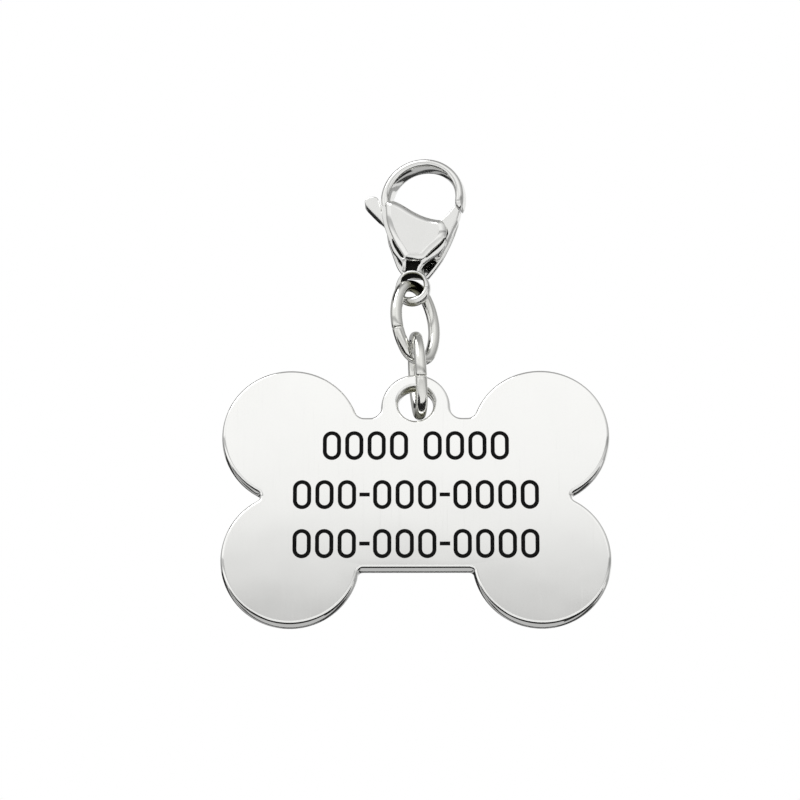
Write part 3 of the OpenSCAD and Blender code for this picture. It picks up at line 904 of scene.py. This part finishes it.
class PETTAG_OT_gate(bpy.types.Operator):
    """Makes the sprung gate lever with its thumb tab"""
    bl_idname = "pet_tag.gate"
    bl_label = "Gate Lever"

    def execute(self, context):
        half = in_mm(context.scene.pet_tag_clasp.gate_thickness) / 2
        bore = arc(PIVOT, 0.49, 0.0, 360.0, 12.0)[:-1]
        lever = flattened(plate_mesh([softened(GATE_EDGE, 0.1, 2), bore], -half, half, 0.14))
        for vert in lever.vertices:
            tab_share = min(1.0, max(0.0, (TAB_STARTS - vert.co.x) / 0.8))
            if vert.co.y > 0:
                vert.co.x -= TAB_SHIFT[0] * tab_share
                vert.co.z -= TAB_SHIFT[1] * tab_share
        make_piece("gate_casting", lever, "gate", finish_named("clasp_steel"), CLASP_PLACE,
                   "gate_lever", sharp=45.0)
        return {"FINISHED"}


class PETTAG_OT_pivot(bpy.types.Operator):
    """Makes the riveted pivot pin and gives the leaf spring its finish"""
    bl_idname = "pet_tag.pivot"
    bl_label = "Pivot Pin and Spring"

    def execute(self, context):
        rings = []
        for y, radius in ((-1.1, 0.36), (-1.04, 0.44), (-1.0, 0.45), (1.28, 0.45), (1.33, 0.44), (1.37, 0.38),
                          (1.4, 0.26), (1.41, 0.1)):
            rings.append([(x, y, z) for x, z in arc(PIVOT, radius, 0.0, 360.0, 10.0)[:-1]])
        make_piece("riveted_pin", mesh_from_rings(rings), "clasp", finish_named("clasp_steel"),
                   CLASP_PLACE, "pivot_pin")
        dress_node("gate_spring", finish_named("spring_steel"))
        return {"FINISHED"}


# Stage: lengths in metres, and each card's name, height over the lowest ones, level of light and corners


BELOW = -0.125
BEHIND = 0.5
CARDS_BELOW = (
    ("flag_below", 0.0, 0.02, ((-0.45, -0.13), (-0.1, -0.13), (-0.05, -0.065), (0.45, -0.065), (0.45, 0.13),
                               (0.06, 0.13), (0.05, 0.03), (-0.45, 0.03))),
    ("card_behind", 0.0, 0.5, ((-0.45, 0.03), (0.05, 0.03), (0.06, 0.13), (0.45, 0.13), (0.45, BEHIND),
                               (-0.45, BEHIND))),
    ("flag_far", 0.0005, 0.04, ((-0.45, 0.24), (0.45, 0.24), (0.45, BEHIND), (-0.45, BEHIND))),
    ("flag_corner", 0.001, 0.03, ((-0.6, 0.12), (-0.3, 0.12), (-0.3, 0.24), (-0.6, 0.24))),
)
CARDS_BEHIND = (
    ("flag_left", 0.02, ((-0.6, -0.02), (-0.06, -0.02), (-0.035, 0.11), (-0.12, 0.11), (-0.3, 0.08),
                         (-0.6, 0.08))),
    ("card_left", 0.4, ((-0.6, -0.125), (-0.06, -0.125), (-0.06, -0.02), (-0.6, -0.02))),
    ("flag_low", 0.08, ((-0.055, -0.105), (0.08, -0.105), (0.08, -0.05), (0.05, 0.0), (0.05, 0.135),
                        (-0.03, 0.135), (-0.055, 0.0))),
    ("flag_right", 0.02, ((0.08, -0.125), (0.3, -0.125), (0.3, -0.05), (0.08, -0.05))),
    ("card_right", 0.9, ((0.07, 0.07), (0.6, 0.07), (0.6, 0.4), (0.07, 0.4))),
)


def aim(piece, target):
    """Points an object's -Z axis at a place, with Y up."""
    direction = Vector(target) - piece.location
    piece.rotation_euler = direction.to_track_quat("-Z", "Y").to_euler()


def add_lamp(name, place, target, width, height, power, mirrored_too=True):
    """A soft rectangular lamp, which polished metal may or may not mirror."""
    data = bpy.data.lights.new(name, "AREA")
    data.shape = "RECTANGLE"
    data.size, data.size_y, data.energy = width, height, power
    lamp = bpy.data.objects.new(name, data)
    lamp.location = place
    lamp.visible_glossy = mirrored_too
    bpy.context.scene.collection.objects.link(lamp)
    aim(lamp, target)


def add_card(name, corners, level):
    """A plain studio card that only reflections see."""
    mesh = bpy.data.meshes.new(name)
    mesh.from_pydata(corners, [], [tuple(range(len(corners)))])
    card = bpy.data.objects.new(name, mesh)
    bpy.context.scene.collection.objects.link(card)
    material, recipe = new_material(name)
    glow = recipe.add("ShaderNodeEmission", {}, {"Color": (level, level, level)})
    recipe.add("ShaderNodeOutputMaterial", {}, {"Surface": glow})
    mesh.materials.append(material)
    card.visible_camera = False
    card.visible_diffuse = False
    card.visible_shadow = False
    card.visible_transmission = False
    card.visible_volume_scatter = False


class PETTAG_OT_stage(bpy.types.Operator):
    """Sets up the camera, the floor, the world and the lamps"""
    bl_idname = "pet_tag.stage"
    bl_label = "Stage"

    def execute(self, context):
        scene = context.scene
        stage = scene.pet_tag_stage
        scene.view_settings.view_transform = "Standard"
        self.place_camera(scene, stage)
        self.lay_floor(stage)
        self.light_world(scene, stage)
        middle = (0.0, 0.0, -0.03)
        add_lamp("key", (-0.32, -0.3, 0.5), middle, 0.35, 0.35, 1.1)
        add_lamp("fill", (0.5, -0.25, 0.2), middle, 0.4, 0.3, 0.5, mirrored_too=False)
        for name, lift, level, corners in CARDS_BELOW:
            add_card(name, [(x, y, BELOW + lift) for x, y in corners], level)
        for name, level, corners in CARDS_BEHIND:
            add_card(name, [(x, BEHIND, z) for x, z in corners], level)
        add_card("flag_side", [(-0.6, y, z) for y, z in ((0.12, BELOW), (BEHIND, BELOW), (BEHIND, 0.1),
                                                         (0.12, 0.1))], 0.03)
        add_card("flag_high", [(-0.45, -0.1, 0.35), (-0.14, -0.1, 0.5), (-0.14, 0.25, 0.5),
                               (-0.45, 0.25, 0.35)], 0.03)
        return {"FINISHED"}

    def place_camera(self, scene, stage):
        """Puts the camera in front of the tag and below it, with its middle at its place in the frame."""
        drop = stage.camera_drop
        half_height = 0.0137
        tag_right, tag_down = 415.8, 495.6
        face = Vector((0.0, -MM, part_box("tag_plate")[0][2] + half_height))
        back = Vector((0.0, -math.cos(drop), -math.sin(drop)))
        up = Vector((0.0, -math.sin(drop), math.cos(drop)))
        pixels = stage.lens / SENSOR_WIDTH * IMAGE_SIZE
        middle = IMAGE_SIZE / 2
        right = Vector((1.0, 0.0, 0.0))
        look = right * ((middle - tag_right) / pixels) + up * ((tag_down - middle) / pixels) - back
        data = bpy.data.cameras.new("camera")
        data.lens = stage.lens
        data.sensor_width = SENSOR_WIDTH
        data.clip_start = 0.01
        data.clip_end = 20.0
        camera = bpy.data.objects.new("camera", data)
        camera.location = face + back * stage.distance
        camera.rotation_euler = look.to_track_quat("-Z", "Y").to_euler()
        scene.collection.objects.link(camera)
        scene.camera = camera

    def lay_floor(self, stage):
        """Lays a plain pale floor."""
        reach = 3.0
        mesh = bpy.data.meshes.new("floor")
        mesh.from_pydata([(-reach, -reach, 0), (reach, -reach, 0), (reach, reach, 0), (-reach, reach, 0)], [],
                         [(0, 1, 2, 3)])
        floor = bpy.data.objects.new("floor", mesh)
        floor.location.z = -stage.floor_drop
        bpy.context.scene.collection.objects.link(floor)
        material, recipe = new_material("floor")
        shader = recipe.add("ShaderNodeBsdfPrincipled", {}, {"Base Color": tuple(stage.floor_colour),
                                                             "Roughness": 0.9, "Specular IOR Level": 0.1})
        recipe.add("ShaderNodeOutputMaterial", {}, {"Surface": shader})
        mesh.materials.append(material)

    def light_world(self, scene, stage):
        """Lights from all round: white to the camera, and a soft tent in what the metal mirrors."""
        world = scene.world or bpy.data.worlds.new("world")
        scene.world = world
        world.use_nodes = True
        recipe = Recipe(world.node_tree)
        rays = "ShaderNodeLightPath"
        seen = recipe.add("ShaderNodeMath", {"operation": "MAXIMUM"}, {
            0: recipe.add(rays, out="Is Camera Ray"), 1: recipe.add(rays, out="Is Transmission Ray")})
        glossy = recipe.add(rays, out="Is Glossy Ray")
        direction = recipe.add("ShaderNodeTexCoord", out="Generated")

        def axes(name):
            return recipe.add("ShaderNodeSeparateXYZ", {}, {0: direction}, out=name)

        height = axes("Z") * 0.5 + 0.5
        tent = recipe.add("ShaderNodeValToRGB", {"stops": [
            (0.0, 0.5), (0.45, 1.0), (0.57, 1.0), (0.605, 0.55), (0.649, 0.5), (0.6519, 0.58), (0.6541, 0.74),
            (0.6574, 0.9), (0.6588, 0.944), (0.665, 0.98), (0.673, 1.0)]}, {"Fac": height})
        side = recipe.add("ShaderNodeValToRGB", {"stops": [
            (0.22, 1.0), (0.28, 0.89), (0.34, 0.89), (0.4, 1.0), (0.62, 1.0), (0.7, 0.92), (0.78, 0.76),
            (0.93, 0.55), (1.0, 0.45)]}, {"Fac": axes("X") * 0.5 + 0.5})
        tent = recipe.mix(1.0, tent, side, "MULTIPLY")
        top = recipe.add("ShaderNodeValToRGB", {"stops": [(0.86, 0.0), (0.92, 0.45), (0.97, 1.0)]},
                         {"Fac": height})
        tent = recipe.mix(top, tent, (0.36, 0.36, 0.36))
        backdrop = recipe.add("ShaderNodeValToRGB", {"stops": [
            (0.0, 0.3), (0.5, 0.36), (0.85, 0.4), (1.0, 0.3)]}, {"Fac": height})
        behind = recipe.add("ShaderNodeValToRGB", {"stops": [(0.42, 0.0), (0.6, 1.0)]},
                            {"Fac": axes("Y") * 0.5 + 0.5})
        tent = recipe.mix(behind, tent, backdrop)
        level = stage.world_level
        shade = recipe.mix(seen, recipe.mix(glossy, (level, level, level), tent), (1.0, 1.0, 1.0))
        back = recipe.add("ShaderNodeBackground", {}, {"Color": shade, "Strength": 1.0})
        recipe.add("ShaderNodeOutputWorld", {}, {"Surface": back})


class PETTAG_PT_panel(bpy.types.Panel):
    """Lists the tag's pieces in the sidebar"""
    bl_label = "Pet Tag"
    bl_idname = "PETTAG_PT_panel"
    bl_space_type = "VIEW_3D"
    bl_region_type = "UI"
    bl_category = "Pet Tag"

    def draw(self, context):
        """Puts one button for each piece in the panel."""
        for operator in OPERATORS:
            self.layout.operator(operator.bl_idname)


GROUPS = {
    "pet_tag_plate": PetTagPlate,
    "pet_tag_links": PetTagLinks,
    "pet_tag_clasp": PetTagClasp,
    "pet_tag_finish": PetTagFinish,
    "pet_tag_stage": PetTagStage,
}
OPERATORS = (PETTAG_OT_stage, PETTAG_OT_plate, PETTAG_OT_numbers, PETTAG_OT_links, PETTAG_OT_clasp,
             PETTAG_OT_gate, PETTAG_OT_pivot)


def register():
    """Registers the properties, the operators and the panel."""
    for name, group in GROUPS.items():
        bpy.utils.register_class(group)
        setattr(bpy.types.Scene, name, PointerProperty(type=group))
    for operator in OPERATORS:
        bpy.utils.register_class(operator)
    bpy.utils.register_class(PETTAG_PT_panel)


def unregister():
    """Takes them all out again."""
    bpy.utils.unregister_class(PETTAG_PT_panel)
    for operator in reversed(OPERATORS):
        bpy.utils.unregister_class(operator)
    for name, group in reversed(list(GROUPS.items())):
        delattr(bpy.types.Scene, name)
        bpy.utils.unregister_class(group)


def main():
    """Makes the stage and every piece."""
    register()
    bpy.ops.pet_tag.stage()
    bpy.ops.pet_tag.plate()
    bpy.ops.pet_tag.numbers()
    bpy.ops.pet_tag.links()
    bpy.ops.pet_tag.clasp()
    bpy.ops.pet_tag.gate()
    bpy.ops.pet_tag.pivot()


if __name__ == "__main__":
    main()
